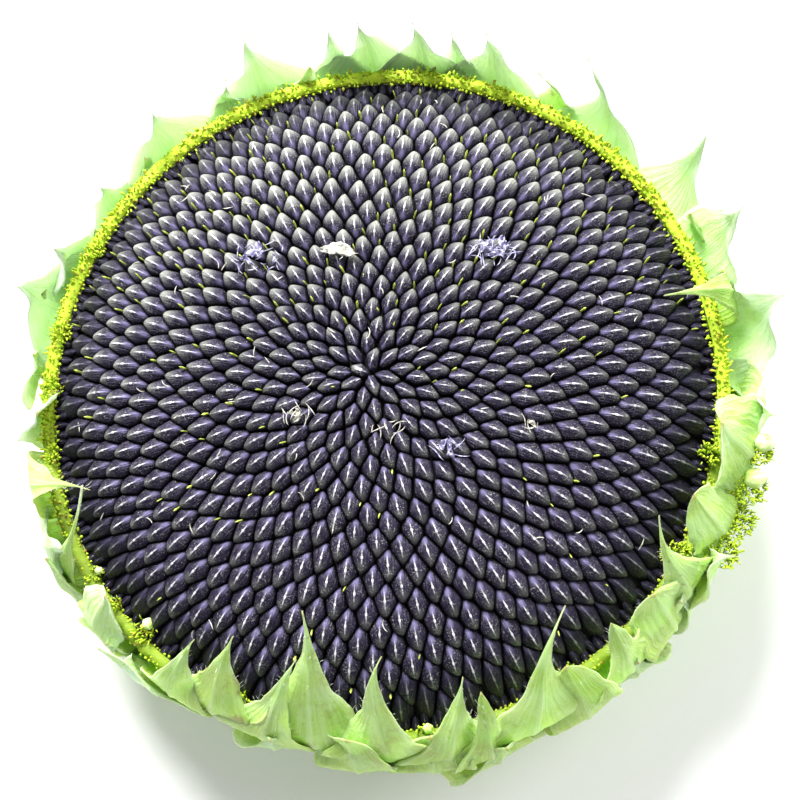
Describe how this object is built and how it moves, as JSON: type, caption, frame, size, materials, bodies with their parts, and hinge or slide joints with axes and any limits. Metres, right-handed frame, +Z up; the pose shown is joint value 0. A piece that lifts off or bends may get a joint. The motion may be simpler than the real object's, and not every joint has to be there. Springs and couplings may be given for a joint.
{
  "type": "sunflower seed head",
  "caption": "Round ripe seed head lying on its back: domed disc of dark seeds in crossing spirals, ringed by pointed green bracts, on a ribbed back with a cut stem stub.",
  "frame": {"origin": "centre of the cut face of the stem stub, on which the head rests", "axes": "+Z up through the middle of the seeds, +X towards the right and +Y towards the top of the pictured view"},
  "size_m": [0.1798, 0.1717, 0.058],
  "materials": {
    "receptacle": "matte",
    "seeds": "satin",
    "florets": "matte",
    "bracts": "satin"
  },
  "bodies": {
    "root": {"receptacle": "receptacle", "seed_disc": "seeds", "rim_florets": "florets", "involucre": "bracts"}
  },
  "joints": []
}
